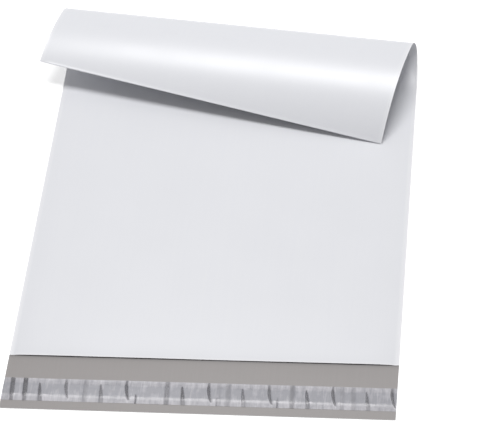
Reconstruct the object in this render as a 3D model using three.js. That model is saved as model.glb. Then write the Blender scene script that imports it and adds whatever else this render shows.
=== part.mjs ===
// A poly mailer: a flat shipping bag of thin polyethylene film, white outside and grey inside.
// One sheet of film is folded at the closed end and welded along both sides. Its back ply is longer than
// its front ply and runs on past the mouth as the flap, which carries a strip of hot-melt glue under a
// clear release liner. The bag lies on its back ply, and its closed end is curled up and over, so that
// the curl's edge comes down on the front panel.
//
// Millimetres, +Z up, +Y from the mouth to the closed end. The origin is under the middle of the part.

import * as THREE from 'three';

// Bag, laid out flat
const bagWidth = 250;
const bagLength = 350;
const flapLength = 40;
const filmThickness = 0.07;

// Pocket between the two plies
const sideWeldWidth = 3;
const creaseDepth = 1;
const pocketGap = 0.4;
const pocketTaper = 14;

// Glue strip and release liner, measured along the flap from the mouth towards the flap's tip
const mouthToLiner = 17.2;
const linerWidth = 16.7;
const linerThickness = 0.05;
const linerLift = 0.03;
const linerStepWidth = 0.8;
const linerEdgeToGlue = 3.7;
const glueWidth = 7.6;
const glueThickness = 0.15;

// Curl of the closed end. Its axis is turned from the bag's width by the tilt, so the right side curls
// over further. The film leaves the floor in a wide arc, turns over in a tight crown and comes down in a
// round arc whose radius brings the lowest corner to rest just above the front panel.
const curlTilt = THREE.MathUtils.degToRad(7.2);
const curledLength = 99;
const risingRadius = 57;
const risingTurn = THREE.MathUtils.degToRad(31);
const crownRadius = 9.5;
const crownTurn = THREE.MathUtils.degToRad(141);
const landingGap = 0.3;

// Number of cells in the film's mesh, and the search for the falling arc's radius
const curlRows = 60;
const middleColumns = 6;
const widestFallingRadius = 2000;
const radiusHalvings = 60;

const sinTilt = Math.sin(curlTilt);
const cosTilt = Math.cos(curlTilt);

// Distance from the mouth's left corner to the line where the film leaves the floor, square to that line
const curlStart = bagLength * cosTilt - curledLength;
const longestCurl = curledLength + bagWidth * sinTilt;

// Where the film's outer face is after a length of curl: how far along, how high and how far turned.
function walkArcs(arcs, length) {
  let along = 0;
  let height = 0;
  let turned = 0;
  let left = length;
  for (const arc of arcs) {
    const step = Math.min(left, arc.radius * arc.turn);
    const next = turned + step / arc.radius;
    along += arc.radius * (Math.sin(next) - Math.sin(turned));
    height += arc.radius * (Math.cos(turned) - Math.cos(next));
    turned = next;
    left -= step;
  }
  return { along, height, turned };
}

function curlArcs(fallingRadius) {
  return [
    { radius: risingRadius, turn: risingTurn },
    { radius: crownRadius, turn: crownTurn },
    { radius: fallingRadius, turn: Infinity },
  ];
}

// Height of the front ply's outer face over a place that stands at the given height and turn
function insideHeight(place) {
  return place.height + 2 * filmThickness * Math.cos(place.turned);
}

// The falling arc's radius is found by halving an interval until the far corner lands at its gap.
function landingRadius() {
  const restHeight = 2 * filmThickness + pocketGap + landingGap;
  let tightest = crownRadius;
  let widest = widestFallingRadius;
  for (let halving = 0; halving < radiusHalvings; halving += 1) {
    const tried = (tightest + widest) / 2;
    if (insideHeight(walkArcs(curlArcs(tried), longestCurl)) < restHeight) {
      tightest = tried;
    } else {
      widest = tried;
    }
  }
  return (tightest + widest) / 2;
}

const arcs = curlArcs(landingRadius());

// A point of the bag: across is measured from the left edge, down the bag from the mouth, and lift is
// the height over the back ply's outer face, square to the film.
function filmPoint(across, down, lift) {
  const towardsCurl = across * sinTilt + down * cosTilt;
  const alongAxis = across * cosTilt - down * sinTilt;
  const curled = Math.max(0, towardsCurl - curlStart);
  const place = walkArcs(arcs, curled);
  const forward = towardsCurl - curled + place.along - lift * Math.sin(place.turned);
  const up = place.height + lift * Math.cos(place.turned);
  return new THREE.Vector3(
    alongAxis * cosTilt + forward * sinTilt,
    forward * cosTilt - alongAxis * sinTilt,
    up,
  );
}

// Columns across the bag: the weld, the taper of the pocket and the middle, the same from both edges
function columnPlaces() {
  const edge = [0, sideWeldWidth, sideWeldWidth + pocketTaper / 2, sideWeldWidth + pocketTaper];
  const inner = edge[edge.length - 1];
  const span = bagWidth - 2 * inner;
  const middle = [];
  for (let column = 1; column < middleColumns; column += 1) {
    middle.push(inner + (span * column) / middleColumns);
  }
  return [...edge, ...middle, ...edge.map((place) => bagWidth - place).reverse()];
}

// Rows down the bag. Each gives the place of a column: straight across at the mouth and at the closed
// end, and along the curl's axis where the film leaves the floor.
function rowPlaces() {
  const curlLine = (across) => (curlStart - across * sinTilt) / cosTilt;
  const creaseLine = bagLength - creaseDepth;
  const rows = [() => 0];
  for (let row = 0; row <= curlRows; row += 1) {
    const share = row / curlRows;
    rows.push((across) => curlLine(across) + share * (creaseLine - curlLine(across)));
  }
  rows.push(() => bagLength);
  return rows;
}

// How far the plies lie apart: nothing at the welds and the crease, the full gap in the middle
function pocketOpening(across, down) {
  const fromWeld = Math.min(across, bagWidth - across) - sideWeldWidth;
  const fromCrease = bagLength - creaseDepth - down;
  const nearest = Math.max(0, Math.min(fromWeld, fromCrease));
  const share = Math.min(1, nearest / pocketTaper);
  return pocketGap * share * (2 - share);
}

const layerLift = {
  backOuter: () => 0,
  backInner: () => filmThickness,
  frontInner: (across, down) => filmThickness + pocketOpening(across, down),
  frontOuter: (across, down) => 2 * filmThickness + pocketOpening(across, down),
};

function layerPoint(layer, across, down) {
  return filmPoint(across, down, layerLift[layer](across, down));
}

// Collects four-sided cells as pairs of triangles
class ClosedSkin {
  constructor() {
    this.positions = [];
  }

  addCell(a, b, c, d) {
    for (const corner of [a, b, c, a, c, d]) {
      this.positions.push(corner.x, corner.y, corner.z);
    }
  }

  toGeometry() {
    const geometry = new THREE.BufferGeometry();
    geometry.setAttribute('position', new THREE.Float32BufferAttribute(this.positions, 3));
    geometry.computeVertexNormals();
    return geometry;
  }
}

// One face of a ply, between two rows and over a run of columns. Its normal points up from the back ply
// where faceUp is true.
function addPlyFace(skin, layer, rows, columns, faceUp) {
  for (let row = 0; row + 1 < rows.length; row += 1) {
    for (let column = 0; column + 1 < columns.length; column += 1) {
      const [left, right] = [columns[column], columns[column + 1]];
      const nearLeft = layerPoint(layer, left, rows[row](left));
      const nearRight = layerPoint(layer, right, rows[row](right));
      const farRight = layerPoint(layer, right, rows[row + 1](right));
      const farLeft = layerPoint(layer, left, rows[row + 1](left));
      // Both faces of a ply are cut along the same diagonal, so that the ply keeps its thickness.
      if (faceUp) {
        skin.addCell(nearLeft, nearRight, farRight, farLeft);
      } else {
        skin.addCell(nearLeft, farLeft, farRight, nearRight);
      }
    }
  }
}

// The edge face between two layers along a chain of places. Walking the chain, the film is on the left.
function addEdgeFace(skin, lower, upper, places) {
  for (let index = 0; index + 1 < places.length; index += 1) {
    const [from, to] = [places[index], places[index + 1]];
    skin.addCell(
      layerPoint(lower, from.across, from.down),
      layerPoint(lower, to.across, to.down),
      layerPoint(upper, to.across, to.down),
      layerPoint(upper, from.across, from.down),
    );
  }
}

function buildBagFilm() {
  const skin = new ClosedSkin();
  const columns = columnPlaces();
  const pocketColumns = columns.slice(1, -1);
  const bagRows = rowPlaces();
  const pocketRows = bagRows.slice(0, -1);
  const flapRows = [() => -flapLength, () => 0];

  addPlyFace(skin, 'backOuter', [flapRows[0], ...bagRows], columns, false);
  addPlyFace(skin, 'backInner', flapRows, columns, true);
  addPlyFace(skin, 'frontOuter', bagRows, columns, true);
  addPlyFace(skin, 'backInner', pocketRows, pocketColumns, true);
  addPlyFace(skin, 'frontInner', pocketRows, pocketColumns, false);

  const alongRow = (row, places) => places.map((across) => ({ across, down: row(across) }));
  const alongColumn = (across, rows) => rows.map((row) => ({ across, down: row(across) }));
  const closedEnd = bagRows[bagRows.length - 1];

  addEdgeFace(skin, 'backOuter', 'backInner', alongRow(flapRows[0], columns));
  addEdgeFace(skin, 'backOuter', 'backInner', alongColumn(bagWidth, flapRows));
  addEdgeFace(skin, 'backOuter', 'backInner', alongColumn(0, flapRows).reverse());
  for (const [lower, upper] of [['backOuter', 'backInner'], ['backInner', 'frontOuter']]) {
    addEdgeFace(skin, lower, upper, alongColumn(bagWidth, bagRows));
    addEdgeFace(skin, lower, upper, alongRow(closedEnd, columns).reverse());
    addEdgeFace(skin, lower, upper, alongColumn(0, bagRows).reverse());
  }

  addEdgeFace(skin, 'backInner', 'frontOuter', alongRow(bagRows[0], columns.slice(0, 2)));
  addEdgeFace(skin, 'frontInner', 'frontOuter', alongRow(bagRows[0], pocketColumns));
  addEdgeFace(skin, 'backInner', 'frontOuter', alongRow(bagRows[0], columns.slice(-2)));
  return skin.toGeometry();
}

// A strip across the flap, as long as the bag is wide, from an outline of its section. The outline's
// first coordinate runs from the mouth towards the tip and its second runs up.
function buildFlapStrip(outline) {
  const section = new THREE.Shape(outline.map(([out, up]) => new THREE.Vector2(out, up)));
  const geometry = new THREE.ExtrudeGeometry(section, { depth: bagWidth, bevelEnabled: false });
  geometry.applyMatrix4(new THREE.Matrix4().makeBasis(
    new THREE.Vector3(0, -1, 0),
    new THREE.Vector3(0, 0, 1),
    new THREE.Vector3(-1, 0, 0),
  ));
  geometry.translate(bagWidth, 0, 0);
  return geometry;
}

function buildAdhesiveStrip() {
  const near = mouthToLiner + linerEdgeToGlue;
  const far = near + glueWidth;
  const top = filmThickness + glueThickness;
  return buildFlapStrip([[near, filmThickness], [far, filmThickness], [far, top], [near, top]]);
}

// The liner lies on the glue, and its dry edges come down to just above the flap on both sides.
function buildReleaseLiner() {
  const near = mouthToLiner;
  const far = near + linerWidth;
  const glueNear = near + linerEdgeToGlue;
  const glueFar = glueNear + glueWidth;
  const low = filmThickness + linerLift;
  const high = filmThickness + glueThickness;
  const underside = [
    [near, low],
    [glueNear - linerStepWidth, low],
    [glueNear, high],
    [glueFar, high],
    [glueFar + linerStepWidth, low],
    [far, low],
  ];
  const topside = underside.map(([out, up]) => [out, up + linerThickness]).reverse();
  return buildFlapStrip([...underside, ...topside]);
}

const whiteFilm = new THREE.MeshStandardMaterial({ color: 0xe6e7ea, roughness: 0.4, metalness: 0 });
const hotMelt = new THREE.MeshStandardMaterial({ color: 0xa8a7ac, roughness: 0.3, metalness: 0 });
const clearLiner = new THREE.MeshStandardMaterial({ color: 0xbfbec3, roughness: 0.2, metalness: 0 });

function addPiece(group, name, geometry, material) {
  const mesh = new THREE.Mesh(geometry, material);
  mesh.name = name;
  group.add(mesh);
}

const polyMailer = new THREE.Group();
polyMailer.name = 'poly_mailer';
addPiece(polyMailer, 'bag_film', buildBagFilm(), whiteFilm);
addPiece(polyMailer, 'adhesive_strip', buildAdhesiveStrip(), hotMelt);
addPiece(polyMailer, 'release_liner', buildReleaseLiner(), clearLiner);

// The origin goes under the middle of the part's footprint.
const extent = new THREE.Box3().setFromObject(polyMailer);
const middle = extent.getCenter(new THREE.Vector3());
polyMailer.position.set(-middle.x, -middle.y, 0);

export default polyMailer;
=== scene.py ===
"""Looks of a poly mailer bag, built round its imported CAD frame.

The bag is one sheet of co-extruded polyethylene film, white outside and grey inside. It is folded once
at the closed end and welded along both sides, and its back ply runs on past the mouth as the flap. The
flap carries a band of hot-melt glue under a clear release liner. The closed end is curled up and over
and leans a little, so that one corner of its fold comes down close over the front panel.

Sizes are in millimetres until a corner is placed, and every mesh lies in the frame's own metres.
"""

import logging
import math
from dataclasses import dataclass, field
from enum import Enum
from functools import cached_property
from typing import Any, Callable, Sequence

import bmesh
import bpy
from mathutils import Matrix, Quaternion, Vector, noise

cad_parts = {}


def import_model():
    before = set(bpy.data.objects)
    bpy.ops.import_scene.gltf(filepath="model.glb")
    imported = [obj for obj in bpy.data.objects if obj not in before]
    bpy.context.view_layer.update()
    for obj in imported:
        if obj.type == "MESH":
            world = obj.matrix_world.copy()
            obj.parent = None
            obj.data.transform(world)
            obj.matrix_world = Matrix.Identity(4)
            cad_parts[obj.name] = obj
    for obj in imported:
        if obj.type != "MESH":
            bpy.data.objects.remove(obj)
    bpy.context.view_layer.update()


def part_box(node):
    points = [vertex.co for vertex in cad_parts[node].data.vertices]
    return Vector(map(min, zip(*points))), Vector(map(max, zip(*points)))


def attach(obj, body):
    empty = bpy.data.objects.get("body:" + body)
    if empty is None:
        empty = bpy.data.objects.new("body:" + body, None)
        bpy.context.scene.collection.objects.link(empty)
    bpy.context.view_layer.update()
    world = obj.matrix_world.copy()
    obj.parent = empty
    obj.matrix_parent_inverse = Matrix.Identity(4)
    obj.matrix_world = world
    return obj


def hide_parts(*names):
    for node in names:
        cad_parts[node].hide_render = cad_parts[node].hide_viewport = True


LOG = logging.getLogger("poly_mailer")

MM = 0.001
BODY = "root"

FILM_MAP = "film_map"
# Film layer for the welds' lighter fused film, and for painted highlight along the bead and the mouth's cut.
WELD_AND_HIGHLIGHT_LAYER = "weld"
# Liner layer for how dry it lies, with the painted highlight of its glints added in.
HAZE_AND_GLINT_LAYER = "haze"
# Liner layer for the painted shade on its puckered ridges.
PUCKER_SHADE_LAYER = "pucker"
SHADE_LAYER = "shade"

# A corner sharper than this is a cut edge and not a bend of the film.
SHARP_CORNER = math.radians(38.0)

# A Mix node's colour sockets share their names with others, so they go by number.
MIX_A, MIX_B, MIXED = 6, 7, 2

# A noise texture's value keeps to this range, near enough.
NOISE_LOW, NOISE_HIGH = 0.3, 0.7


class Skin(Enum):
    """Which face of a thin sheet a corner of its mesh belongs to."""

    OUTER = 0
    INNER = 1


class Ply(Enum):
    """The part of the folded film that a row of its mesh belongs to."""

    FRONT = 0
    FOLD = 1
    BACK = 2


class Uneven(Enum):
    """The uneven things about the bag. Each takes its numbers from its own depth of one noise field."""

    FRONT_PLY = 1.5
    GLUE_BORDER = 2.5
    WET_BORDER = 3.5
    FLAP = 4.0
    WET_BLOTCH = 5.5
    LIP = 7.5
    LINER_BORDER = 8.5
    GLUE_TOP = 9.5
    GLINT_LINE = 12.5
    GLINT_STRENGTH = 15.5


def uneven(what: Uneven, across: float, along: float = 0.0) -> float:
    """Returns a smooth random number round 0 for a place, the same in every run."""
    return noise.noise(Vector((across, along, what.value)))


def smooth_step(value: float) -> float:
    """Returns value held between 0 and 1 and eased at both ends."""
    held = min(1.0, max(0.0, value))
    return held * held * (3.0 - 2.0 * held)


def soft_border(past: float, width: float) -> float:
    """Returns how far over a soft border a place is, from 0 to 1, where past is 0 in its middle."""
    return smooth_step(past / width + 0.5)


def even_places(length: float, step: float) -> list[float]:
    """Returns evenly spaced places from 0 to a length, about a step apart."""
    count = round(length / step)
    return [length * place / count for place in range(count + 1)]


def linear_colour(code: str, alpha: float = 1.0) -> tuple[float, float, float, float]:
    """Turns an sRGB colour code into the linear colour that the nodes work in.

    Args:
        code: Six hex digits, red first.
        alpha: The fourth number of the result.

    Returns:
        Red, green, blue and alpha.
    """
    parts = []
    for start in (0, 2, 4):
        share = int(code[start : start + 2], 16) / 255.0
        if share <= 0.04045:
            parts.append(share / 12.92)
        else:
            parts.append(((share + 0.055) / 1.055) ** 2.4)
    return (parts[0], parts[1], parts[2], alpha)


def set_inputs(tree: bpy.types.NodeTree, node: bpy.types.Node, inputs: dict[str | int, Any]) -> None:
    """Sets a node's inputs.

    Args:
        tree: The tree that the node is in.
        node: The node.
        inputs: Plain values, or the output sockets to link from, by input name or number.
    """
    for key, value in inputs.items():
        if isinstance(value, bpy.types.NodeSocket):
            tree.links.new(value, node.inputs[key])
        else:
            node.inputs[key].default_value = value


def add_node(
    tree: bpy.types.NodeTree,
    kind: str,
    settings: dict[str, Any] | None = None,
    inputs: dict[str | int, Any] | None = None,
) -> bpy.types.Node:
    """Adds one node with its settings, its plain inputs and its links.

    Args:
        tree: The node tree to add to.
        kind: Blender's name for the node.
        settings: Values for the node's own properties.
        inputs: Its inputs, as for set_inputs.

    Returns:
        The new node.
    """
    node = tree.nodes.new(kind)
    for name, value in (settings or {}).items():
        setattr(node, name, value)
    set_inputs(tree, node, inputs or {})
    return node


def start_material(name: str) -> tuple[bpy.types.Material, bpy.types.NodeTree, bpy.types.Node]:
    """Returns a new material, its node tree and its shader."""
    made = bpy.data.materials.new(name)
    made.use_nodes = True
    return made, made.node_tree, made.node_tree.nodes["Principled BSDF"]


def add_object(name: str, data: bpy.types.ID) -> bpy.types.Object:
    """Returns a new object in the scene, for a mesh, a lamp or a camera."""
    made = bpy.data.objects.new(name, data)
    bpy.context.scene.collection.objects.link(made)
    return made


def stand(thing: bpy.types.Object, place: Vector, looking: Vector, roll: float) -> None:
    """Places a lamp or the camera and turns it.

    Args:
        thing: The lamp or the camera.
        place: Where it stands, in metres.
        looking: The direction in which it looks.
        roll: How far it is turned about that direction, in radians.
    """
    thing.location = place
    thing.rotation_mode = "QUATERNION"
    level = looking.to_track_quat("-Z", "Y")
    thing.rotation_quaternion = level @ Quaternion((0.0, 0.0, 1.0), roll)


@dataclass(frozen=True)
class Arc:
    """One arc of the curl: its radius in millimetres and how far it turns in radians."""

    radius: float
    turn: float


@dataclass(frozen=True)
class Place:
    """A place on the curled film: how far along, how high and how far turned."""

    along: float
    height: float
    turned: float


@dataclass(frozen=True)
class BagForm:
    """The bag's sizes, as in its CAD source, and the rule that lays its film out in space."""

    width: float = 250.0
    length: float = 350.0
    flap: float = 40.0
    film: float = 0.07
    weld: float = 3.0
    crease: float = 1.0
    pocket_gap: float = 0.4
    pocket_taper: float = 14.0
    tilt: float = math.radians(7.2)
    curled: float = 99.0
    rising: Arc = Arc(57.0, math.radians(31.0))
    crown: Arc = Arc(9.5, math.radians(141.0))
    landing_gap: float = 0.3
    widest_falling: float = 2000.0
    halvings: int = 60
    liner_near: float = 17.2
    liner_width: float = 16.7
    glue_inset: float = 3.7
    glue_width: float = 7.6
    glue_thickness: float = 0.15
    flap_wave: float = 0.16
    flap_wave_length: float = 46.0
    flap_wave_start: float = 10.0

    @property
    def glue_near(self) -> float:
        """Returns how far the glue band lies from the mouth."""
        return self.liner_near + self.glue_inset

    @property
    def glue_end(self) -> float:
        """Returns how far the glue band's far border lies from the liner's near one."""
        return self.glue_inset + self.glue_width

    @property
    def curl_start(self) -> float:
        """Returns the distance from the mouth's left corner at which the film leaves the floor."""
        return self.length * math.cos(self.tilt) - self.curled

    @cached_property
    def origin(self) -> Vector:
        """Returns where the mouth's left corner is on the floor, in metres, read off the frame."""
        low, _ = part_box("adhesive_strip")
        far_side = self.glue_near + self.glue_width
        return Vector((low.x, low.y + far_side * MM, 0.0))

    @cached_property
    def falling_radius(self) -> float:
        """Returns the radius of the falling arc, which brings the far corner down to its gap."""
        rest = 2.0 * self.film + self.pocket_gap + self.landing_gap
        longest = self.curled + self.width * math.sin(self.tilt)
        tightest, widest = self.crown.radius, self.widest_falling
        for _ in range(self.halvings):
            tried = (tightest + widest) / 2.0
            place = self.walk(longest, tried)
            if place.height + 2.0 * self.film * math.cos(place.turned) < rest:
                tightest = tried
            else:
                widest = tried
        return (tightest + widest) / 2.0

    def walk(self, length: float, falling: float | None = None) -> Place:
        """Follows the curl's three arcs for a length of film.

        Args:
            length: Millimetres of curled film.
            falling: The falling arc's radius, or None for the one that lands.

        Returns:
            The place reached.
        """
        last = Arc(falling or self.falling_radius, math.inf)
        along, height, turned, left = 0.0, 0.0, 0.0, length
        for arc in (self.rising, self.crown, last):
            step = min(left, arc.radius * arc.turn)
            after = turned + step / arc.radius
            along += arc.radius * (math.sin(after) - math.sin(turned))
            height += arc.radius * (math.cos(turned) - math.cos(after))
            turned = after
            left -= step
        return Place(along, height, turned)

    def curled_part(self, across: float, down: float) -> float:
        """Returns how many millimetres past the start of the curl a place on the bag is."""
        towards = across * math.sin(self.tilt) + down * math.cos(self.tilt)
        return max(0.0, towards - self.curl_start)

    def curl_line(self, across: float) -> float:
        """Returns how far from the mouth the film leaves the floor in one column."""
        return (self.curl_start - across * math.sin(self.tilt)) / math.cos(self.tilt)

    def point(self, across: float, down: float, lift: float) -> Vector:
        """Lays out one point of the film.

        Args:
            across: Millimetres from the bag's left edge.
            down: Millimetres from the mouth towards the closed end, and below 0 on the flap.
            lift: Millimetres over the back ply's outer face, square to the film.

        Returns:
            The point in the frame's metres.
        """
        sine, cosine = math.sin(self.tilt), math.cos(self.tilt)
        towards = across * sine + down * cosine
        along_axis = across * cosine - down * sine
        curled = self.curled_part(across, down)
        place = self.walk(curled)
        forward = towards - curled + place.along - lift * math.sin(place.turned)
        up = place.height + lift * math.cos(place.turned)
        spot = Vector((along_axis * cosine + forward * sine, forward * cosine - along_axis * sine, up))
        return self.origin + spot * MM

    def opening(self, across: float, down: float) -> float:
        """Returns how far the plies lie apart: nothing at the welds and the crease."""
        from_weld = min(across, self.width - across) - self.weld
        from_crease = self.length - self.crease - down
        nearest = max(0.0, min(from_weld, from_crease))
        share = min(1.0, nearest / self.pocket_taper)
        return self.pocket_gap * share * (2.0 - share)

    def flap_lift(self, across: float, down: float) -> float:
        """Returns how far the flap's film has risen off the floor in its shallow waves."""
        out = max(0.0, -down)
        wave = uneven(Uneven.FLAP, across / self.flap_wave_length, out / (2.0 * self.flap_wave_length))
        return self.flap_wave * smooth_step(out / self.flap_wave_start) * (0.5 + 0.5 * wave)


@dataclass(frozen=True)
class Row:
    """One row of the film's mesh across the bag.

    Attributes:
        ply: The part of the film that it is on.
        down: Gives its distance from the mouth in any column.
        station: How far along the flat sheet it is, from the mouth's edge of the front ply.
        bend: How far round the fold it is, from 0 on the front ply to half a turn on the back ply.
    """

    ply: Ply
    down: Callable[[float], float]
    station: Callable[[float], float]
    bend: float = 0.0


Corner = tuple[int, int, Skin]


@dataclass
class ThinSheet:
    """A thin sheet made as one closed mesh: a flat grid, extruded once, whose corners are then placed.

    Attributes:
        name: The piece's name.
        columns: Places across the sheet in millimetres.
        row_count: How many rows of corners the sheet has.
        place: Gives a corner's point from its column, row and skin.
        map_place: Gives a corner's place on the flat sheet in millimetres.
        layers: Numbers that the materials read, by layer name.
    """

    name: str
    columns: Sequence[float]
    row_count: int
    place: Callable[[int, int, Skin], Vector]
    map_place: Callable[[int, int], tuple[float, float]]
    layers: dict[str, Callable[[int, int, Skin], float]] = field(default_factory=dict)

    def start(self) -> bmesh.types.BMesh:
        """Makes the grid and its second skin, marks each corner's column, row and skin and places it."""
        mesh = bmesh.new()
        column_mark = mesh.verts.layers.int.new("column")
        row_mark = mesh.verts.layers.int.new("row")
        skin_mark = mesh.verts.layers.int.new("skin")
        across_cells, down_cells = len(self.columns) - 1, self.row_count - 1
        bmesh.ops.create_grid(mesh, x_segments=across_cells, y_segments=down_cells, size=0.5)
        for vert in mesh.verts:
            vert[column_mark] = round((vert.co.x + 0.5) * across_cells)
            vert[row_mark] = round((vert.co.y + 0.5) * down_cells)
            vert[skin_mark] = Skin.OUTER.value
        made = bmesh.ops.extrude_face_region(mesh, geom=mesh.faces[:])
        for part in made["geom"]:
            if isinstance(part, bmesh.types.BMVert):
                part[skin_mark] = Skin.INNER.value
        self.set_corners(mesh)
        return mesh

    def corner(self, mesh: bmesh.types.BMesh, vert: bmesh.types.BMVert) -> Corner:
        """Returns a vertex's column, row and skin."""
        marks = mesh.verts.layers.int
        return (vert[marks["column"]], vert[marks["row"]], Skin(vert[marks["skin"]]))

    def set_corners(self, mesh: bmesh.types.BMesh) -> None:
        """Places every corner, and fills the flat map and the layers that the materials read."""
        numbers = {name: mesh.verts.layers.float.new(name) for name in self.layers}
        flat = mesh.loops.layers.uv.new(FILM_MAP)
        for vert in mesh.verts:
            column, row, skin = self.corner(mesh, vert)
            vert.co = self.place(column, row, skin)
            for name, layer in numbers.items():
                vert[layer] = self.layers[name](column, row, skin)
        for face in mesh.faces:
            for loop in face.loops:
                column, row, _ = self.corner(mesh, loop.vert)
                across, along = self.map_place(column, row)
                loop[flat].uv = (across * MM, along * MM)

    def face_in_skin(self, mesh: bmesh.types.BMesh, face: bmesh.types.BMFace, skin: Skin) -> bool:
        """Returns whether all of a face's corners are on one skin."""
        return all(self.corner(mesh, vert)[2] is skin for vert in face.verts)

    def finish(self, mesh: bmesh.types.BMesh, materials: Sequence[bpy.types.Material]) -> bpy.types.Object:
        """Turns the faces outwards, marks the cut edges and makes the object.

        Args:
            mesh: The placed mesh, which is freed.
            materials: The outer skin's material, then the inner skin's if it has its own.

        Returns:
            The new object, at the origin.
        """
        for face in mesh.faces:
            inner = self.face_in_skin(mesh, face, Skin.INNER)
            face.material_index = 1 if inner and len(materials) > 1 else 0
            face.smooth = True
        bmesh.ops.recalc_face_normals(mesh, faces=mesh.faces[:])
        for edge in mesh.edges:
            if len(edge.link_faces) == 2 and edge.calc_face_angle(0.0) > SHARP_CORNER:
                edge.smooth = False
        open_edges = sum(1 for edge in mesh.edges if len(edge.link_faces) != 2)
        for name in ("column", "row", "skin"):
            mesh.verts.layers.int.remove(mesh.verts.layers.int[name])
        data = bpy.data.meshes.new(self.name)
        mesh.to_mesh(data)
        mesh.free()
        for material in materials:
            data.materials.append(material)
        LOG.info("%s: %d faces, %d open edges", self.name, len(data.polygons), open_edges)
        return add_object(self.name, data)


@dataclass(frozen=True)
class Pattern:
    """A cloudy pattern on the flat sheet, even or drawn out one way.

    Attributes:
        across_mm: Size of its patches across the bag.
        along_mm: Size of its patches from the mouth to the closed end.
        detail: How many finer patterns lie over it.
        roughness: How strong each finer one is.
    """

    across_mm: float
    along_mm: float
    detail: float
    roughness: float = 0.5

    def add(self, tree: bpy.types.NodeTree) -> bpy.types.NodeSocket:
        """Adds the pattern to a material and returns its value."""
        flat = add_node(tree, "ShaderNodeUVMap", {"uv_map": FILM_MAP})
        scale = (1.0 / (self.across_mm * MM), 1.0 / (self.along_mm * MM), 1.0)
        sized = add_node(tree, "ShaderNodeMapping", inputs={"Vector": flat.outputs["UV"], "Scale": scale})
        cloudy = add_node(
            tree,
            "ShaderNodeTexNoise",
            inputs={
                "Vector": sized.outputs["Vector"],
                "Scale": 1.0,
                "Detail": self.detail,
                "Roughness": self.roughness,
            },
        )
        return cloudy.outputs["Fac"]


@dataclass(frozen=True)
class OutsideFilm:
    """Blown low-density polyethylene, its outer layer filled with white pigment.

    The white is even and slightly cool, with a soft satin gloss that spreads a lamp into a broad glow.
    The die leaves faint lines along the film, 1 to 3 mm apart, and cooling leaves a shallow orange peel.
    Where the plies are fused in the side welds it is a shade lighter. The lighter line along the fused
    bead is partly that and partly painted highlight. The lighter strip along the mouth's cut is painted
    highlight, where the cut edge catches the lamp.
    """

    name: str = "white_polyethylene_film"
    white: str = "E7E8EC"
    pigment_streak: str = "E5E6EB"
    # The welds' lighter fused white, which also paints highlight along the fused bead and the mouth's cut.
    fused: str = "F1F1F4"
    roughness: float = 0.31
    roughness_spread: float = 0.03
    refraction: float = 1.51
    die_lines: Pattern = Pattern(2.2, 140.0, 3.0, 0.6)
    die_line_share: float = 0.6
    orange_peel: Pattern = Pattern(1.6, 1.6, 2.0)
    gloss_clouds: Pattern = Pattern(38.0, 38.0, 4.0)
    relief_mm: float = 0.007
    relief_strength: float = 0.6

    def material(self) -> bpy.types.Material:
        """Returns the film's outer material."""
        made, tree, shader = start_material(self.name)
        die = self.die_lines.add(tree)
        tint = add_node(
            tree,
            "ShaderNodeMix",
            {"data_type": "RGBA"},
            {"Factor": die, MIX_A: linear_colour(self.white), MIX_B: linear_colour(self.pigment_streak)},
        )
        # The weld layer lightens the colour where the plies are fused, and paints highlight on the bead and
        # the mouth's cut.
        weld = add_node(tree, "ShaderNodeAttribute", {"attribute_name": WELD_AND_HIGHLIGHT_LAYER})
        fused = add_node(
            tree,
            "ShaderNodeMix",
            {"data_type": "RGBA"},
            {"Factor": weld.outputs["Fac"], MIX_A: tint.outputs[MIXED], MIX_B: linear_colour(self.fused)},
        )
        shine = add_node(
            tree,
            "ShaderNodeMapRange",
            inputs={
                "Value": self.gloss_clouds.add(tree),
                "From Min": NOISE_LOW,
                "From Max": NOISE_HIGH,
                "To Min": self.roughness - self.roughness_spread,
                "To Max": self.roughness + self.roughness_spread,
            },
        )
        height = add_node(
            tree,
            "ShaderNodeMath",
            {"operation": "MULTIPLY_ADD"},
            {0: die, 1: self.die_line_share, 2: self.orange_peel.add(tree)},
        )
        relief = add_node(
            tree,
            "ShaderNodeBump",
            inputs={
                "Height": height.outputs["Value"],
                "Strength": self.relief_strength,
                "Distance": self.relief_mm * MM,
            },
        )
        set_inputs(
            tree,
            shader,
            {
                "Base Color": fused.outputs[MIXED],
                "Roughness": shine.outputs["Result"],
                "Normal": relief.outputs["Normal"],
                "IOR": self.refraction,
            },
        )
        return made


@dataclass(frozen=True)
class InsideFilm:
    """The same blown film's inner layer, filled with carbon grey so that nothing shows through.

    It is a warm mid grey with the same satin gloss and the same faint die lines. Over 1 or 2 mm right
    under the mouth's cut it is darker. That is a contact shadow, and it is drawn in the colour because
    the cut stands too low off the flap to throw one. It follows the film, so it holds from every side.
    """

    name: str = "grey_polyethylene_film"
    grey: str = "969190"
    streak: str = "908C8B"
    contact_shade: str = "625F60"
    roughness: float = 0.42
    refraction: float = 1.51
    die_lines: Pattern = Pattern(1.8, 90.0, 4.0, 0.6)
    relief_mm: float = 0.012
    relief_strength: float = 0.6

    def material(self) -> bpy.types.Material:
        """Returns the film's inner material."""
        made, tree, shader = start_material(self.name)
        die = self.die_lines.add(tree)
        tint = add_node(
            tree,
            "ShaderNodeMix",
            {"data_type": "RGBA"},
            {"Factor": die, MIX_A: linear_colour(self.grey), MIX_B: linear_colour(self.streak)},
        )
        shade = add_node(tree, "ShaderNodeAttribute", {"attribute_name": SHADE_LAYER})
        shaded = add_node(
            tree,
            "ShaderNodeMix",
            {"data_type": "RGBA"},
            {
                "Factor": shade.outputs["Fac"],
                MIX_A: tint.outputs[MIXED],
                MIX_B: linear_colour(self.contact_shade),
            },
        )
        relief = add_node(
            tree,
            "ShaderNodeBump",
            inputs={"Height": die, "Strength": self.relief_strength, "Distance": self.relief_mm * MM},
        )
        set_inputs(
            tree,
            shader,
            {
                "Base Color": shaded.outputs[MIXED],
                "Normal": relief.outputs["Normal"],
                "Roughness": self.roughness,
                "IOR": self.refraction,
            },
        )
        return made


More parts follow.
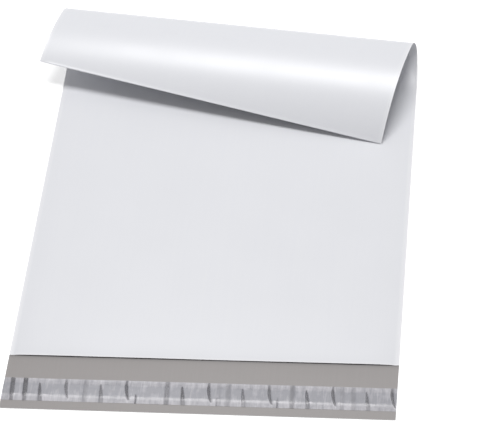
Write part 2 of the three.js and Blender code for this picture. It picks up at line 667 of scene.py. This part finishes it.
@dataclass(frozen=True)
class HotMelt:
    """Pressure-sensitive hot-melt glue, laid down molten through a slot and still tacky.

    It is a clear gel with a wet gloss, and shows faint run lines along the band. It is drawn solid, in
    the grey that it takes from the flap under it.
    """

    name: str = "hot_melt_glue"
    body: str = "ADACB1"
    run_line: str = "A2A1A8"
    roughness: float = 0.16
    refraction: float = 1.49
    run_lines: Pattern = Pattern(30.0, 0.9, 3.0)
    relief_mm: float = 0.02
    relief_strength: float = 0.7

    def material(self) -> bpy.types.Material:
        """Returns the glue's material."""
        made, tree, shader = start_material(self.name)
        runs = self.run_lines.add(tree)
        tint = add_node(
            tree,
            "ShaderNodeMix",
            {"data_type": "RGBA"},
            {"Factor": runs, MIX_A: linear_colour(self.body), MIX_B: linear_colour(self.run_line)},
        )
        relief = add_node(
            tree,
            "ShaderNodeBump",
            inputs={"Height": runs, "Strength": self.relief_strength, "Distance": self.relief_mm * MM},
        )
        set_inputs(
            tree,
            shader,
            {
                "Base Color": tint.outputs[MIXED],
                "Normal": relief.outputs["Normal"],
                "Roughness": self.roughness,
                "IOR": self.refraction,
            },
        )
        return made


@dataclass(frozen=True)
class LinerFilm:
    """Siliconised polypropylene film, stretched clear, with a thin haze of its own.

    Lying dry over the flap it looks milky, because of the air under it. Where it has wetted out on the
    glue the milkiness goes and the band shows through. Where it has puckered off the glue it stands up in
    ridges, and their darkness, where they tilt away from the lamp, is painted shade in the colour. Small
    glints on the ridges by the glue's far border are painted highlight, mixed into the milkiness. Fine
    stretch marks run across the strip, about 1 mm apart, in broader crinkles about 3 mm apart.
    """

    name: str = "clear_liner_film"
    milky: str = "F0EEF4"
    wetted: str = "BDBDC4"
    # Painted shade for the puckered ridges, which tilt away from the lamp.
    puckered: str = "605F65"
    roughness: float = 0.24
    refraction: float = 1.5
    cover: float = 0.52
    stretch_marks: Pattern = Pattern(0.9, 9.0, 5.0, 0.65)
    stretch_spread: float = 0.3
    crinkles: Pattern = Pattern(3.4, 9.0, 2.0)
    crinkle_spread: float = 0.34
    relief_mm: float = 0.03
    relief_strength: float = 0.7

    def material(self) -> bpy.types.Material:
        """Returns the liner's material."""
        made, tree, shader = start_material(self.name)
        marks, crinkles = self.stretch_marks.add(tree), self.crinkles.add(tree)
        swings = []
        for pattern, spread in ((marks, self.stretch_spread), (crinkles, self.crinkle_spread)):
            swing = add_node(
                tree,
                "ShaderNodeMapRange",
                inputs={
                    "Value": pattern,
                    "From Min": NOISE_LOW,
                    "From Max": NOISE_HIGH,
                    "To Min": -spread,
                    "To Max": spread,
                },
            )
            swings.append(swing.outputs["Result"])
        wandering = add_node(tree, "ShaderNodeMath", {"operation": "ADD"}, {0: swings[0], 1: swings[1]})
        # The haze layer holds the liner's dryness and the glints' painted highlight, both shown as milkiness.
        haze = add_node(tree, "ShaderNodeAttribute", {"attribute_name": HAZE_AND_GLINT_LAYER})
        dryness_and_glint = add_node(
            tree,
            "ShaderNodeMath",
            {"operation": "ADD", "use_clamp": True},
            {0: haze.outputs["Fac"], 1: wandering.outputs["Value"]},
        )
        milk = add_node(
            tree,
            "ShaderNodeMix",
            {"data_type": "RGBA"},
            {
                "Factor": dryness_and_glint.outputs["Value"],
                MIX_A: linear_colour(self.wetted),
                MIX_B: linear_colour(self.milky),
            },
        )
        # Painted shade: darkens the colour where the liner has puckered into ridges.
        pucker = add_node(tree, "ShaderNodeAttribute", {"attribute_name": PUCKER_SHADE_LAYER})
        dark = add_node(
            tree,
            "ShaderNodeMix",
            {"data_type": "RGBA"},
            {
                "Factor": pucker.outputs["Fac"],
                MIX_A: milk.outputs[MIXED],
                MIX_B: linear_colour(self.puckered),
            },
        )
        relief = add_node(
            tree,
            "ShaderNodeBump",
            inputs={"Height": marks, "Strength": self.relief_strength, "Distance": self.relief_mm * MM},
        )
        set_inputs(
            tree,
            shader,
            {
                "Base Color": dark.outputs[MIXED],
                "Normal": relief.outputs["Normal"],
                "Roughness": self.roughness,
                "IOR": self.refraction,
                "Alpha": self.cover,
            },
        )
        return made


@dataclass
class BagFilm:
    """The bag itself: one folded and welded sheet of film, with its open pocket and its flap.

    Attributes:
        lip_height: How far the mouth's edge stands off the flap, past the pocket's own gap.
        lip_reach: How fast that lift dies away down the bag.
        lip_end: How far from the welds the lift reaches its full height.
        rim_width: Width of the painted highlight along the mouth's cut, where its edge catches the lamp.
        shade_width: How fast the contact shadow under the mouth's cut dies away along the flap.
        bead_height: Height of the fused bead along the cut of the side welds.
        bead_glow: How much wider than the bead its lighter line is, which is fused film and painted
            highlight.
        curl_bead_reach: How far into the curl the bead takes to come up on the back.
        weld_light: How light the weld beside the bead is, against the bead.
        weld_fade: How far inside the weld's border that ends, and how far past it.
        fold_radius: Outer radius of the fold at the closed end, which film can't take sharp.
        fold_end: How far from the welds the fold reaches that radius.
        ripple: Height of the shallow waves in the front ply.
        merge_distance: Corners in a weld that are nearer to each other than this are made one.
    """

    form: BagForm
    outside: OutsideFilm
    inside: InsideFilm
    lip_height: float = 0.3
    lip_reach: float = 3.2
    lip_end: float = 1.6
    lip_wave: float = 0.45
    lip_wave_length: float = 34.0
    rim_width: float = 1.3
    rim_highlight: float = 0.8
    shade_width: float = 1.1
    bead_height: float = 0.1
    bead_centre: float = 0.4
    bead_width: float = 0.32
    bead_glow: float = 1.6
    flap_bead_share: float = 0.5
    flap_light_share: float = 0.4
    curl_bead_reach: float = 12.0
    weld_light: float = 0.25
    weld_fade: tuple[float, float] = (0.6, 0.2)
    fold_radius: float = 0.28
    fold_reach: float = 2.0
    fold_end: float = 4.0
    fold_steps: int = 10
    ripple: float = 0.14
    ripple_length: float = 62.0
    merge_distance: float = 0.002
    weld_places: tuple[float, ...] = (0.0, 0.2, 0.4, 0.65, 1.0, 1.6, 2.3, 3.0)
    taper_places: tuple[float, ...] = (3.6, 4.4, 5.6, 7.2, 9.4, 12.0, 15.0, 18.0)
    middle_columns: int = 48
    lip_places: tuple[float, ...] = (0.0, 0.3, 0.7, 1.2, 1.8, 2.6, 3.6, 5.0, 7.0, 9.5, 12.5)
    flat_rows: int = 54
    curl_rows: int = 92
    crease_places: tuple[float, ...] = (1.6, 1.25, 0.95, 0.7, 0.48)
    flap_places: tuple[float, ...] = (
        0.4, 1.0, 1.8, 2.8, 4.2, 6.0, 8.5, 11.5, 15.0, 18.5, 22.0, 25.5, 29.0, 32.5, 35.5, 38.0, 39.4, 40.0
    )

    @cached_property
    def columns(self) -> list[float]:
        """Returns the columns' places across the bag, the same from both edges."""
        near = [*self.weld_places, *self.taper_places]
        span = self.form.width - 2.0 * near[-1]
        middle = [near[-1] + span * step / self.middle_columns for step in range(1, self.middle_columns)]
        return [*near, *middle, *[self.form.width - place for place in reversed(near)]]

    @cached_property
    def front_downs(self) -> list[Callable[[float], float]]:
        """Returns the front ply's rows, from the mouth to where the fold begins to swell."""
        last = self.lip_places[-1]
        swell = self.form.length - self.fold_reach
        line = self.form.curl_line

        def straight(place: float) -> Callable[[float], float]:
            """Returns a row straight across the bag."""
            return lambda across: place

        def flat(share: float) -> Callable[[float], float]:
            """Returns a row of the flat part, which turns from the mouth's line to the curl's."""
            return lambda across: last + share * (line(across) - last)

        def curled(share: float) -> Callable[[float], float]:
            """Returns a row of the curl, which turns from the curl's line to the fold's."""
            return lambda across: line(across) + share * (swell - line(across))

        rows = [straight(place) for place in self.lip_places]
        rows += [flat(step / self.flat_rows) for step in range(1, self.flat_rows + 1)]
        rows += [curled(step / self.curl_rows) for step in range(1, self.curl_rows + 1)]
        rows += [straight(self.form.length - place) for place in self.crease_places]
        return rows

    @cached_property
    def rows(self) -> list[Row]:
        """Returns every row of the sheet: down the front ply, round the fold and back to the flap's tip."""
        length = self.form.length
        rows = [Row(Ply.FRONT, down, down) for down in self.front_downs]
        for step in range(self.fold_steps + 1):
            bend = math.pi * step / self.fold_steps
            rows.append(Row(Ply.FOLD, lambda across: length, lambda across: length, bend))
        for down in reversed(self.front_downs):
            rows.append(Row(Ply.BACK, down, lambda across, down=down: 2.0 * length - down(across)))
        for out in self.flap_places:
            rows.append(
                Row(Ply.BACK, lambda across, out=out: -out, lambda across, out=out: 2.0 * length + out)
            )
        return rows

    def from_edge(self, across: float) -> float:
        """Returns the distance to the nearer side of the bag."""
        return min(across, self.form.width - across)

    def welded(self, column: int) -> bool:
        """Returns whether a column lies in a side weld, its inner border included."""
        return self.from_edge(self.columns[column]) <= self.form.weld + 1e-6

    def loose_share(self, across: float, reach: float) -> float:
        """Returns how free the film is of the weld beside it, over a reach in millimetres."""
        return smooth_step((self.from_edge(across) - self.form.weld) / reach)

    def fold_outer(self, across: float) -> float:
        """Returns the fold's outer radius in one column, pressed flat in the welds."""
        film = self.form.film
        return film + (self.fold_radius - film) * self.loose_share(across, self.fold_end)

    def bead_share(self, across: float, width: float) -> float:
        """Returns how near the middle of the fused bead a place is, from 0 to 1, for a bead's width."""
        off = (self.from_edge(across) - self.bead_centre) / width
        return math.exp(-off * off)

    def swelling(self, across: float, down: float) -> float:
        """Returns how far each ply swells out on its way into the fold."""
        start = self.form.length - self.fold_reach
        end = self.form.length - self.fold_outer(across)
        return (self.fold_outer(across) - self.form.film) * smooth_step((down - start) / (end - start))

    def front_gap(self, across: float, down: float) -> float:
        """Returns how far the front ply stands off the back ply."""
        gap = self.form.opening(across, down)
        share = gap / self.form.pocket_gap
        wave = uneven(Uneven.FRONT_PLY, across / self.ripple_length, down / self.ripple_length)
        lip_wave = self.lip_wave * uneven(Uneven.LIP, across / self.lip_wave_length)
        lip = self.lip_height * (1.0 + lip_wave) * math.exp(-down / self.lip_reach)
        lip *= self.loose_share(across, self.lip_end)
        return gap + share * self.ripple * wave + lip + self.swelling(across, down)

    def lift(self, row: Row, across: float, skin: Skin) -> float:
        """Returns a corner's height over the back ply's outer face, except in the fold.

        Args:
            row: The corner's row.
            across: Its place across the bag.
            skin: The face of the film that it is on.

        Returns:
            Millimetres, square to the film.
        """
        film, down = self.form.film, row.down(across)
        bead = self.bead_height * self.bead_share(across, self.bead_width)
        if row.ply is Ply.FRONT:
            gap = self.front_gap(across, down)
            return film + gap if skin is Skin.INNER else 2.0 * film + gap + bead
        if down < 0.0:
            rise = self.form.flap_lift(across, down)
            return rise + (film + self.flap_bead_share * bead if skin is Skin.INNER else 0.0)
        swelling = self.swelling(across, down)
        if skin is Skin.INNER:
            return film - swelling
        return -swelling - smooth_step(self.form.curled_part(across, down) / self.curl_bead_reach) * bead

    def place(self, column: int, index: int, skin: Skin) -> Vector:
        """Returns a corner of the film in the frame's metres."""
        across, row = self.columns[column], self.rows[index]
        if row.ply is not Ply.FOLD:
            return self.form.point(across, row.down(across), self.lift(row, across, skin))
        outer = self.fold_outer(across)
        radius = outer if skin is Skin.OUTER else outer - self.form.film
        down = self.form.length - outer + radius * math.sin(row.bend)
        return self.form.point(across, down, self.form.film + radius * math.cos(row.bend))

    def weld_and_highlight_layer(self, column: int, index: int, skin: Skin) -> float:
        """Returns how light the colour is: fused welds, and painted highlight on the bead and the mouth's
        cut.
        """
        across, row = self.columns[column], self.rows[index]
        down = row.down(across)
        inside, past = self.weld_fade
        fade = smooth_step((self.from_edge(across) - self.form.weld + inside) / (inside + past))
        bead = self.bead_share(across, self.bead_glow * self.bead_width)
        light = max(self.weld_light * (1.0 - fade), bead)
        if down < 0.0:
            light *= self.flap_light_share
        if row.ply is not Ply.FRONT:
            return light
        # Painted highlight along the mouth's cut, where the cut edge catches the lamp.
        return max(light, self.rim_highlight * math.exp(-((down / self.rim_width) ** 2)))

    def shade_layer(self, column: int, index: int, skin: Skin) -> float:
        """Returns how dark the contact shadow is that is drawn on the flap under the mouth's cut."""
        out = -self.rows[index].down(self.columns[column])
        return math.exp(-out / self.shade_width) if out >= 0.0 else 1.0

    def build(self) -> bpy.types.Object:
        """Makes the film and fuses its side welds.

        Returns:
            The film's object.
        """
        sheet = ThinSheet(
            "mailer_film",
            self.columns,
            len(self.rows),
            self.place,
            lambda column, index: (self.columns[column], self.rows[index].station(self.columns[column])),
            {WELD_AND_HIGHLIGHT_LAYER: self.weld_and_highlight_layer, SHADE_LAYER: self.shade_layer},
        )
        mesh = sheet.start()
        self.fuse(sheet, mesh)
        return sheet.finish(mesh, [self.outside.material(), self.inside.material()])

    def fuse(self, sheet: ThinSheet, mesh: bmesh.types.BMesh) -> None:
        """Takes out the faces between the plies in the welds, and joins what was on either side."""
        last_bag_row = len(self.rows) - len(self.flap_places) - 1

        def inside_weld(vert: bmesh.types.BMVert) -> bool:
            """Returns whether a corner is on the inner skin, in a weld and on the bag itself."""
            column, row, skin = sheet.corner(mesh, vert)
            return skin is Skin.INNER and row <= last_bag_row and self.welded(column)

        buried = [face for face in mesh.faces if all(inside_weld(vert) for vert in face.verts)]
        bmesh.ops.delete(mesh, geom=buried, context="FACES")
        seam = [vert for vert in mesh.verts if inside_weld(vert)]
        bmesh.ops.remove_doubles(mesh, verts=seam, dist=self.merge_distance * MM)


@dataclass
class GlueBand:
    """The band of hot-melt glue along the flap.

    Attributes:
        edge_round: How far in from its borders the band is rounded off.
        edge_share: The share of its thickness that is left at the borders.
        wobble: How far its borders sway.
        grain: The share of its thickness by which its top is uneven.
    """

    form: BagForm
    finish: HotMelt
    column_step: float = 1.6
    edge_round: float = 0.5
    edge_share: float = 0.25
    wobble: float = 0.12
    wobble_length: float = 9.0
    grain: float = 0.06
    grain_length: float = 2.6
    row_shares: tuple[float, ...] = (
        0.0, 0.015, 0.04, 0.08, 0.15, 0.25, 0.37, 0.5, 0.63, 0.75, 0.85, 0.92, 0.96, 0.985, 1.0
    )

    @cached_property
    def columns(self) -> list[float]:
        """Returns the columns' places across the bag."""
        return even_places(self.form.width, self.column_step)

    def out(self, column: int, index: int) -> float:
        """Returns a corner's distance from the mouth, with the band's uneven border."""
        across, share = self.columns[column], self.row_shares[index]
        # The two borders are 6 apart in the noise field, so that they sway differently.
        side = -3.0 if share < 0.5 else 3.0
        sway = self.wobble * uneven(Uneven.GLUE_BORDER, across / self.wobble_length, side)
        return self.form.glue_near + share * self.form.glue_width + abs(2.0 * share - 1.0) ** 3 * sway

    def place(self, column: int, index: int, skin: Skin) -> Vector:
        """Returns a corner of the glue band, rounded off at both borders."""
        across, out = self.columns[column], self.out(column, index)
        base = self.form.film + self.form.flap_lift(across, -out)
        if skin is Skin.INNER:
            return self.form.point(across, -out, base)
        inset = min(self.row_shares[index], 1.0 - self.row_shares[index]) * self.form.glue_width
        rounding = math.sqrt(max(0.0, 1.0 - (1.0 - min(1.0, inset / self.edge_round)) ** 2))
        grain = uneven(Uneven.GLUE_TOP, across / self.grain_length, out / self.grain_length)
        height = self.form.glue_thickness * (self.edge_share + (1.0 - self.edge_share) * rounding)
        return self.form.point(across, -out, base + height * (1.0 - self.grain * (1.0 - grain)))

    def build(self) -> bpy.types.Object:
        """Returns the glue band's object."""
        sheet = ThinSheet(
            "hot_melt_band",
            self.columns,
            len(self.row_shares),
            self.place,
            lambda column, index: (self.columns[column], self.row_shares[index] * self.form.glue_width),
        )
        return sheet.finish(sheet.start(), [self.finish.material()])


@dataclass(frozen=True)
class MarkShape:
    """The shape of one kind of mark, in millimetres, with places from the liner's near border.

    Attributes:
        half_width: Half its width where it is widest.
        edge: Width of its soft edge.
        lean: How far it moves to the right for each millimetre towards the flap's tip.
        bow: How far it bows to the left between the liner's two borders.
        start: Where it starts to grow.
        growth: How far it takes to grow.
        first_width: The share of its width that it has before.
        first_dark: The share of its darkness that it has before.
        point: Where its pointed end is.
        taper: How far it takes from there to its full width.
        round_end: Where its round end is.
        widening: What its half width gains past the glue, and over what distance.
        paling: What share of its darkness it loses past the glue, and over what distance.
    """

    half_width: float
    edge: float
    lean: float
    bow: float = 0.0
    start: float = 0.0
    growth: float = 1.0
    first_width: float = 1.0
    first_dark: float = 1.0
    point: float = -math.inf
    taper: float = 1.0
    round_end: float = math.inf
    widening: tuple[float, float] = (0.0, 1.0)
    paling: tuple[float, float] = (0.0, 1.0)


class MarkKind(Enum):
    """The ways in which the release liner has come away from the glue."""

    BAR = MarkShape(1.4, 0.7, 0.07, widening=(-0.3, 3.0), paling=(0.3, 2.0))
    TEARDROP = MarkShape(0.95, 0.5, 0.14, point=3.1, taper=6.0, widening=(0.35, 4.0), paling=(0.42, 1.8))
    HOOK = MarkShape(1.05, 0.5, 0.21, 1.15, growth=5.0, first_width=0.65, first_dark=0.6, round_end=14.6)
    SOFT = MarkShape(1.4, 1.5, 0.05)
    TICK = MarkShape(0.4, 0.4, 0.03, start=9.7, growth=2.0, first_width=0.0)


@dataclass(frozen=True)
class Mark:
    """One place where the liner has come away from the glue.

    Attributes:
        kind: Its shape.
        across: Millimetres from the bag's left edge to its middle.
        strength: How much painted shade it has, from 0 to 1, which also sets how high it stands.
    """

    kind: MarkKind
    across: float
    strength: float


@dataclass
class ReleaseLiner:
    """The clear liner strip over the glue, puckered where the flap has been flexed.

    Attributes:
        step_width: How far beyond the glue the liner takes to come down to the flap.
        lift_off: Height of the gap under its dry borders.
        flutter: Height of the waves in its borders, which reach flutter_reach inwards.
        pucker_height: How far the strongest mark stands off the glue.
        bars: Each bar's place from the bag's left edge, and how dark it is. The other marks are alike.
        mark_reach: A mark is left out beyond this distance from its middle.
        wet_border: How far past the glue the liner still looks wetted out.
        wet_sway: How far the wetted part's borders sway.
        near_edge: Width of the wetted part's soft border nearest the mouth, and far_edge of the other.
        near_dry: How dry the liner is on the near side of the glue, and far_dry beyond it.
        blotch: How patchy the wetted part is.
        glint_gap: How far right of a mark its bright ridge starts.
        glint_rise: How far a ridge takes to come up, and glint_fall to end.
        glint_row: How far past the liner's middle the ridges lie, for following a mark's lean.
        glint_cut: Where a ridge stops, in widths.
        glint_highlight: How bright a ridge is.
    """

    form: BagForm
    finish: LinerFilm
    thickness: float = 0.05
    lift_off: float = 0.03
    step_width: float = 2.4
    flutter: float = 0.06
    flutter_reach: float = 3.0
    flutter_size: tuple[float, float] = (3.2, 20.0)
    pucker_height: float = 0.34
    column_step: float = 0.45
    row_step: float = 0.6
    bars: tuple[tuple[float, float], ...] = ((6.3, 0.85), (14.6, 0.9))
    teardrops: tuple[tuple[float, float], ...] = (
        (24.2, 0.9), (63.6, 0.72), (115.7, 0.9), (154.0, 0.66), (194.2, 0.8), (231.6, 0.7)
    )
    hooks: tuple[tuple[float, float], ...] = (
        (42.4, 0.75), (81.3, 0.9), (133.7, 0.85), (171.9, 0.8), (211.8, 0.85), (248.6, 0.85)
    )
    soft_streaks: tuple[tuple[float, float], ...] = (
        (53.7, 0.26), (105.9, 0.5), (138.6, 0.16), (144.6, 0.32), (184.9, 0.45), (216.0, 0.2), (222.9, 0.3)
    )
    ticks: tuple[tuple[float, float], ...] = ((86.3, 0.75), (137.8, 0.5), (175.8, 0.55), (215.2, 0.35))
    mark_reach: float = 4.0
    wet_border: float = 0.7
    wet_sway: float = 0.5
    wet_sway_length: float = 5.0
    near_edge: float = 2.0
    far_edge: float = 1.4
    near_dry: float = 0.53
    far_dry: float = 0.52
    blotch: float = 0.22
    blotch_size: tuple[float, float] = (4.5, 3.2)
    glint_gap: float = 0.6
    glint_length: float = 5.0
    glint_rise: float = 0.8
    glint_fall: float = 1.5
    glint_row: float = 4.0
    glint_width: float = 0.42
    glint_cut: float = 2.5
    glint_drift: float = 0.5
    glint_drift_length: float = 3.0
    glint_break: float = 0.45
    glint_break_length: float = 1.4
    # How bright the painted highlight on a glint ridge is, added to the haze layer.
    glint_highlight: float = 1.2
    glint_height: float = 0.1

    @cached_property
    def columns(self) -> list[float]:
        """Returns the columns' places across the bag."""
        return even_places(self.form.width, self.column_step)

    @cached_property
    def outs(self) -> list[float]:
        """Returns the rows' distances from the liner's border nearest the mouth."""
        return even_places(self.form.liner_width, self.row_step)

    @cached_property
    def marks(self) -> list[Mark]:
        """Returns every mark along the strip."""
        placed = {
            MarkKind.BAR: self.bars,
            MarkKind.TEARDROP: self.teardrops,
            MarkKind.HOOK: self.hooks,
            MarkKind.SOFT: self.soft_streaks,
            MarkKind.TICK: self.ticks,
        }
        return [Mark(kind, at, dark) for kind, places in placed.items() for at, dark in places]

    def mark_at(self, mark: Mark, across: float, out: float) -> float:
        """Returns how strong one mark is at a place on the strip.

        Args:
            mark: The mark.
            across: Millimetres from the bag's left edge.
            out: Millimetres from the liner's border nearest the mouth.

        Returns:
            A share from 0 to 1.
        """
        shape = mark.kind.value
        half = self.form.liner_width / 2.0
        off = across - mark.across - shape.lean * (out - half)
        if abs(off) > self.mark_reach:
            return 0.0
        off += shape.bow * (1.0 - ((out - half) / half) ** 2)
        grown = smooth_step((out - shape.start) / shape.growth)
        gain, gain_reach = shape.widening
        width = shape.half_width * (shape.first_width + (1.0 - shape.first_width) * grown)
        width *= math.sqrt(max(0.0, min(1.0, (out - shape.point) / shape.taper)))
        width *= math.sqrt(max(0.0, 1.0 - (out / shape.round_end) ** 2))
        width += gain * smooth_step((out - self.form.glue_end) / gain_reach)
        if width <= 0.0:
            return 0.0
        loss, loss_reach = shape.paling
        dark = mark.strength * (shape.first_dark + (1.0 - shape.first_dark) * grown)
        dark *= 1.0 - loss * smooth_step((out - self.form.glue_end) / loss_reach)
        return dark * (1.0 - soft_border(abs(off) - width, shape.edge))

    def pucker(self, across: float, out: float) -> float:
        """Returns how far the liner has come away at a place, from 0 to 1, which also sets its painted shade.
        """
        return max(self.mark_at(mark, across, out) for mark in self.marks)

    def glint(self, across: float, out: float) -> float:
        """Returns the glints on the glue's far border right of each mark: small ridges with painted
        highlight.
        """
        drift = self.glint_drift * uneven(Uneven.GLINT_LINE, across / self.glint_drift_length)
        off = (out - self.form.glue_end - self.wet_border - drift) / self.glint_width
        if abs(off) > self.glint_cut:
            return 0.0
        strongest = 0.0
        for mark in self.marks:
            if mark.kind is MarkKind.SOFT:
                continue
            past = across - mark.across - mark.kind.value.lean * self.glint_row - self.glint_gap
            ending = smooth_step((past - self.glint_length + self.glint_fall) / self.glint_fall)
            strongest = max(strongest, smooth_step(past / self.glint_rise) * (1.0 - ending) * mark.strength)
        wave = uneven(Uneven.GLINT_STRENGTH, across / self.glint_break_length)
        return math.exp(-off * off) * strongest * (1.0 - self.glint_break * (1.0 - wave))

    def haze(self, across: float, out: float) -> float:
        """Returns how dry the liner lies, from 0 wetted out on the glue to 1, plus painted highlight on
        glints.
        """
        sway = self.wet_sway * uneven(Uneven.WET_BORDER, across / self.wet_sway_length)
        dry = self.near_dry * (1.0 - soft_border(out - self.form.glue_inset - sway, self.near_edge))
        dry += self.far_dry * soft_border(out - self.form.glue_end - self.wet_border - sway, self.far_edge)
        patch = uneven(Uneven.WET_BLOTCH, across / self.blotch_size[0], out / self.blotch_size[1])
        # The glints' painted highlight is added to the dryness, so they show milky white.
        return dry + self.blotch * patch * (1.0 - dry) + self.glint_highlight * self.glint(across, out)

    def lift(self, across: float, out: float) -> float:
        """Returns the height of the liner's underside over the flap's inner face."""
        over = smooth_step((out - self.form.glue_inset + self.step_width) / self.step_width)
        over *= 1.0 - smooth_step((out - self.form.glue_end) / self.step_width)
        rest = self.lift_off + (self.form.glue_thickness - self.lift_off) * over
        border = min(out, self.form.liner_width - out)
        wave = uneven(Uneven.LINER_BORDER, across / self.flutter_size[0], out / self.flutter_size[1])
        flutter = self.flutter * (0.5 + 0.5 * wave) * (1.0 - smooth_step(border / self.flutter_reach))
        ridges = self.pucker_height * self.pucker(across, out) + self.glint_height * self.glint(across, out)
        return rest + flutter + ridges

    def place(self, column: int, index: int, skin: Skin) -> Vector:
        """Returns a corner of the liner in the frame's metres."""
        across, out = self.columns[column], self.outs[index]
        down = -self.form.liner_near - out
        base = self.form.film + self.form.flap_lift(across, down) + self.lift(across, out)
        return self.form.point(across, down, base + (self.thickness if skin is Skin.OUTER else 0.0))

    def build(self) -> bpy.types.Object:
        """Returns the liner's object."""
        sheet = ThinSheet(
            "liner_strip",
            self.columns,
            len(self.outs),
            self.place,
            lambda column, index: (self.columns[column], self.outs[index]),
            {
                HAZE_AND_GLINT_LAYER: lambda column, index, skin: self.haze(self.columns[column], self.outs[index]),
                PUCKER_SHADE_LAYER: lambda column, index, skin: self.pucker(self.columns[column], self.outs[index]),
            },
        )
        return sheet.finish(sheet.start(), [self.finish.material()])


@dataclass(frozen=True)
class SoftLight:
    """A square or oblong studio lamp that faces the bag.

    Attributes:
        name: The lamp's name.
        azimuth: Degrees round from the camera's side of the bag, towards its right.
        elevation: Degrees above the floor.
        distance: Metres from the bag.
        size: Its width and height in metres.
        power: Watts.
        roll: Degrees it is turned about the line to the bag.
    """

    name: str
    azimuth: float
    elevation: float
    distance: float
    size: tuple[float, float]
    power: float
    roll: float

    def add(self) -> bpy.types.Object:
        """Returns the lamp, placed and aimed."""
        data = bpy.data.lights.new(self.name, "AREA")
        data.shape = "RECTANGLE"
        data.size, data.size_y = self.size
        data.energy = self.power
        turn, rise = math.radians(self.azimuth), math.radians(self.elevation)
        away = Vector((math.sin(turn) * math.cos(rise), -math.cos(turn) * math.cos(rise), math.sin(rise)))
        lamp = add_object(self.name, data)
        stand(lamp, away * self.distance, -away, math.radians(self.roll))
        return lamp


@dataclass
class Studio:
    """Floor, surround, lamp and the camera at the photograph's viewing angle."""

    floor_size: float = 8.0
    floor_drop_mm: float = 0.25
    floor_colour: str = "F4F4F4"
    floor_roughness: float = 0.9
    floor_gloss: float = 0.1
    floor_glow: float = 0.5
    surround: float = 0.33
    lens_mm: float = 150.50
    sensor_mm: float = 36.0
    camera_mm: tuple[float, float, float] = (215.688, -827.469, 1079.732)
    aim_mm: tuple[float, float, float] = (24.2257, -6.9661, 0.0)
    roll: float = math.radians(-9.4188)
    lamp: SoftLight = SoftLight("overhead_softbox", 184.0, 77.5, 1.4, (0.95, 0.38), 13.0, -25.0)

    def seen_directly(self, tree: bpy.types.NodeTree) -> bpy.types.NodeSocket:
        """Adds the test for rays that show the background itself: camera, glossy and see-through rays."""
        path = add_node(tree, "ShaderNodeLightPath")
        seen = path.outputs["Is Camera Ray"]
        for ray in ("Is Glossy Ray", "Is Transmission Ray"):
            both = add_node(tree, "ShaderNodeMath", {"operation": "MAXIMUM"}, {0: seen, 1: path.outputs[ray]})
            seen = both.outputs["Value"]
        return seen

    def add_floor(self) -> bpy.types.Object:
        """Returns the floor, a plain pale sheet that glows a little to the camera and keeps shadows."""
        mesh = bmesh.new()
        bmesh.ops.create_grid(mesh, x_segments=1, y_segments=1, size=self.floor_size / 2.0)
        bmesh.ops.translate(mesh, verts=mesh.verts[:], vec=(0.0, 0.0, -self.floor_drop_mm * MM))
        data = bpy.data.meshes.new("floor")
        mesh.to_mesh(data)
        mesh.free()
        made, tree, shader = start_material("pale_floor")
        glow = add_node(
            tree,
            "ShaderNodeMath",
            {"operation": "MULTIPLY"},
            {0: self.seen_directly(tree), 1: self.floor_glow},
        )
        set_inputs(
            tree,
            shader,
            {
                "Base Color": linear_colour(self.floor_colour),
                "Roughness": self.floor_roughness,
                "Specular IOR Level": self.floor_gloss,
                "Emission Color": (1.0, 1.0, 1.0, 1.0),
                "Emission Strength": glow.outputs["Value"],
            },
        )
        data.materials.append(made)
        floor = add_object("floor", data)
        return floor

    def add_surround(self) -> None:
        """Sets a plain white surround, at full white where it is seen and softer where it lights."""
        world = bpy.data.worlds.new("surround")
        world.use_nodes = True
        tree = world.node_tree
        level = add_node(
            tree,
            "ShaderNodeMapRange",
            inputs={"Value": self.seen_directly(tree), "To Min": self.surround, "To Max": 1.0},
        )
        white = {"Color": (1.0, 1.0, 1.0, 1.0), "Strength": level.outputs["Result"]}
        set_inputs(tree, tree.nodes["Background"], white)
        bpy.context.scene.world = world

    def add_camera(self) -> bpy.types.Object:
        """Returns the camera, placed, aimed and rolled as the photograph was taken."""
        data = bpy.data.cameras.new("camera")
        data.lens = self.lens_mm
        data.sensor_width = self.sensor_mm
        eye, aim = Vector(self.camera_mm) * MM, Vector(self.aim_mm) * MM
        camera = add_object("camera", data)
        stand(camera, eye, aim - eye, self.roll)
        bpy.context.scene.camera = camera
        return camera

    def build(self) -> None:
        """Sets up the whole studio."""
        bpy.context.scene.view_settings.view_transform = "Standard"
        self.add_floor()
        self.add_surround()
        self.add_camera()
        self.lamp.add()


def main() -> None:
    """Builds the bag round its frame and reports each piece."""
    logging.basicConfig(level=logging.INFO, format="%(name)s: %(message)s")
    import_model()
    form = BagForm()
    Studio().build()

    film = BagFilm(form, OutsideFilm(), InsideFilm()).build()
    glue = GlueBand(form, HotMelt()).build()
    liner = ReleaseLiner(form, LinerFilm()).build()

    for piece, node, slot in (
        (film, "bag_film", "polyethylene_film"),
        (glue, "adhesive_strip", "hot_melt_glue"),
        (liner, "release_liner", "clear_liner_film"),
    ):
        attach(piece, BODY)
        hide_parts(node)
        LOG.info("%s stands for %s", piece.name, node)


if __name__ == "__main__":
    main()
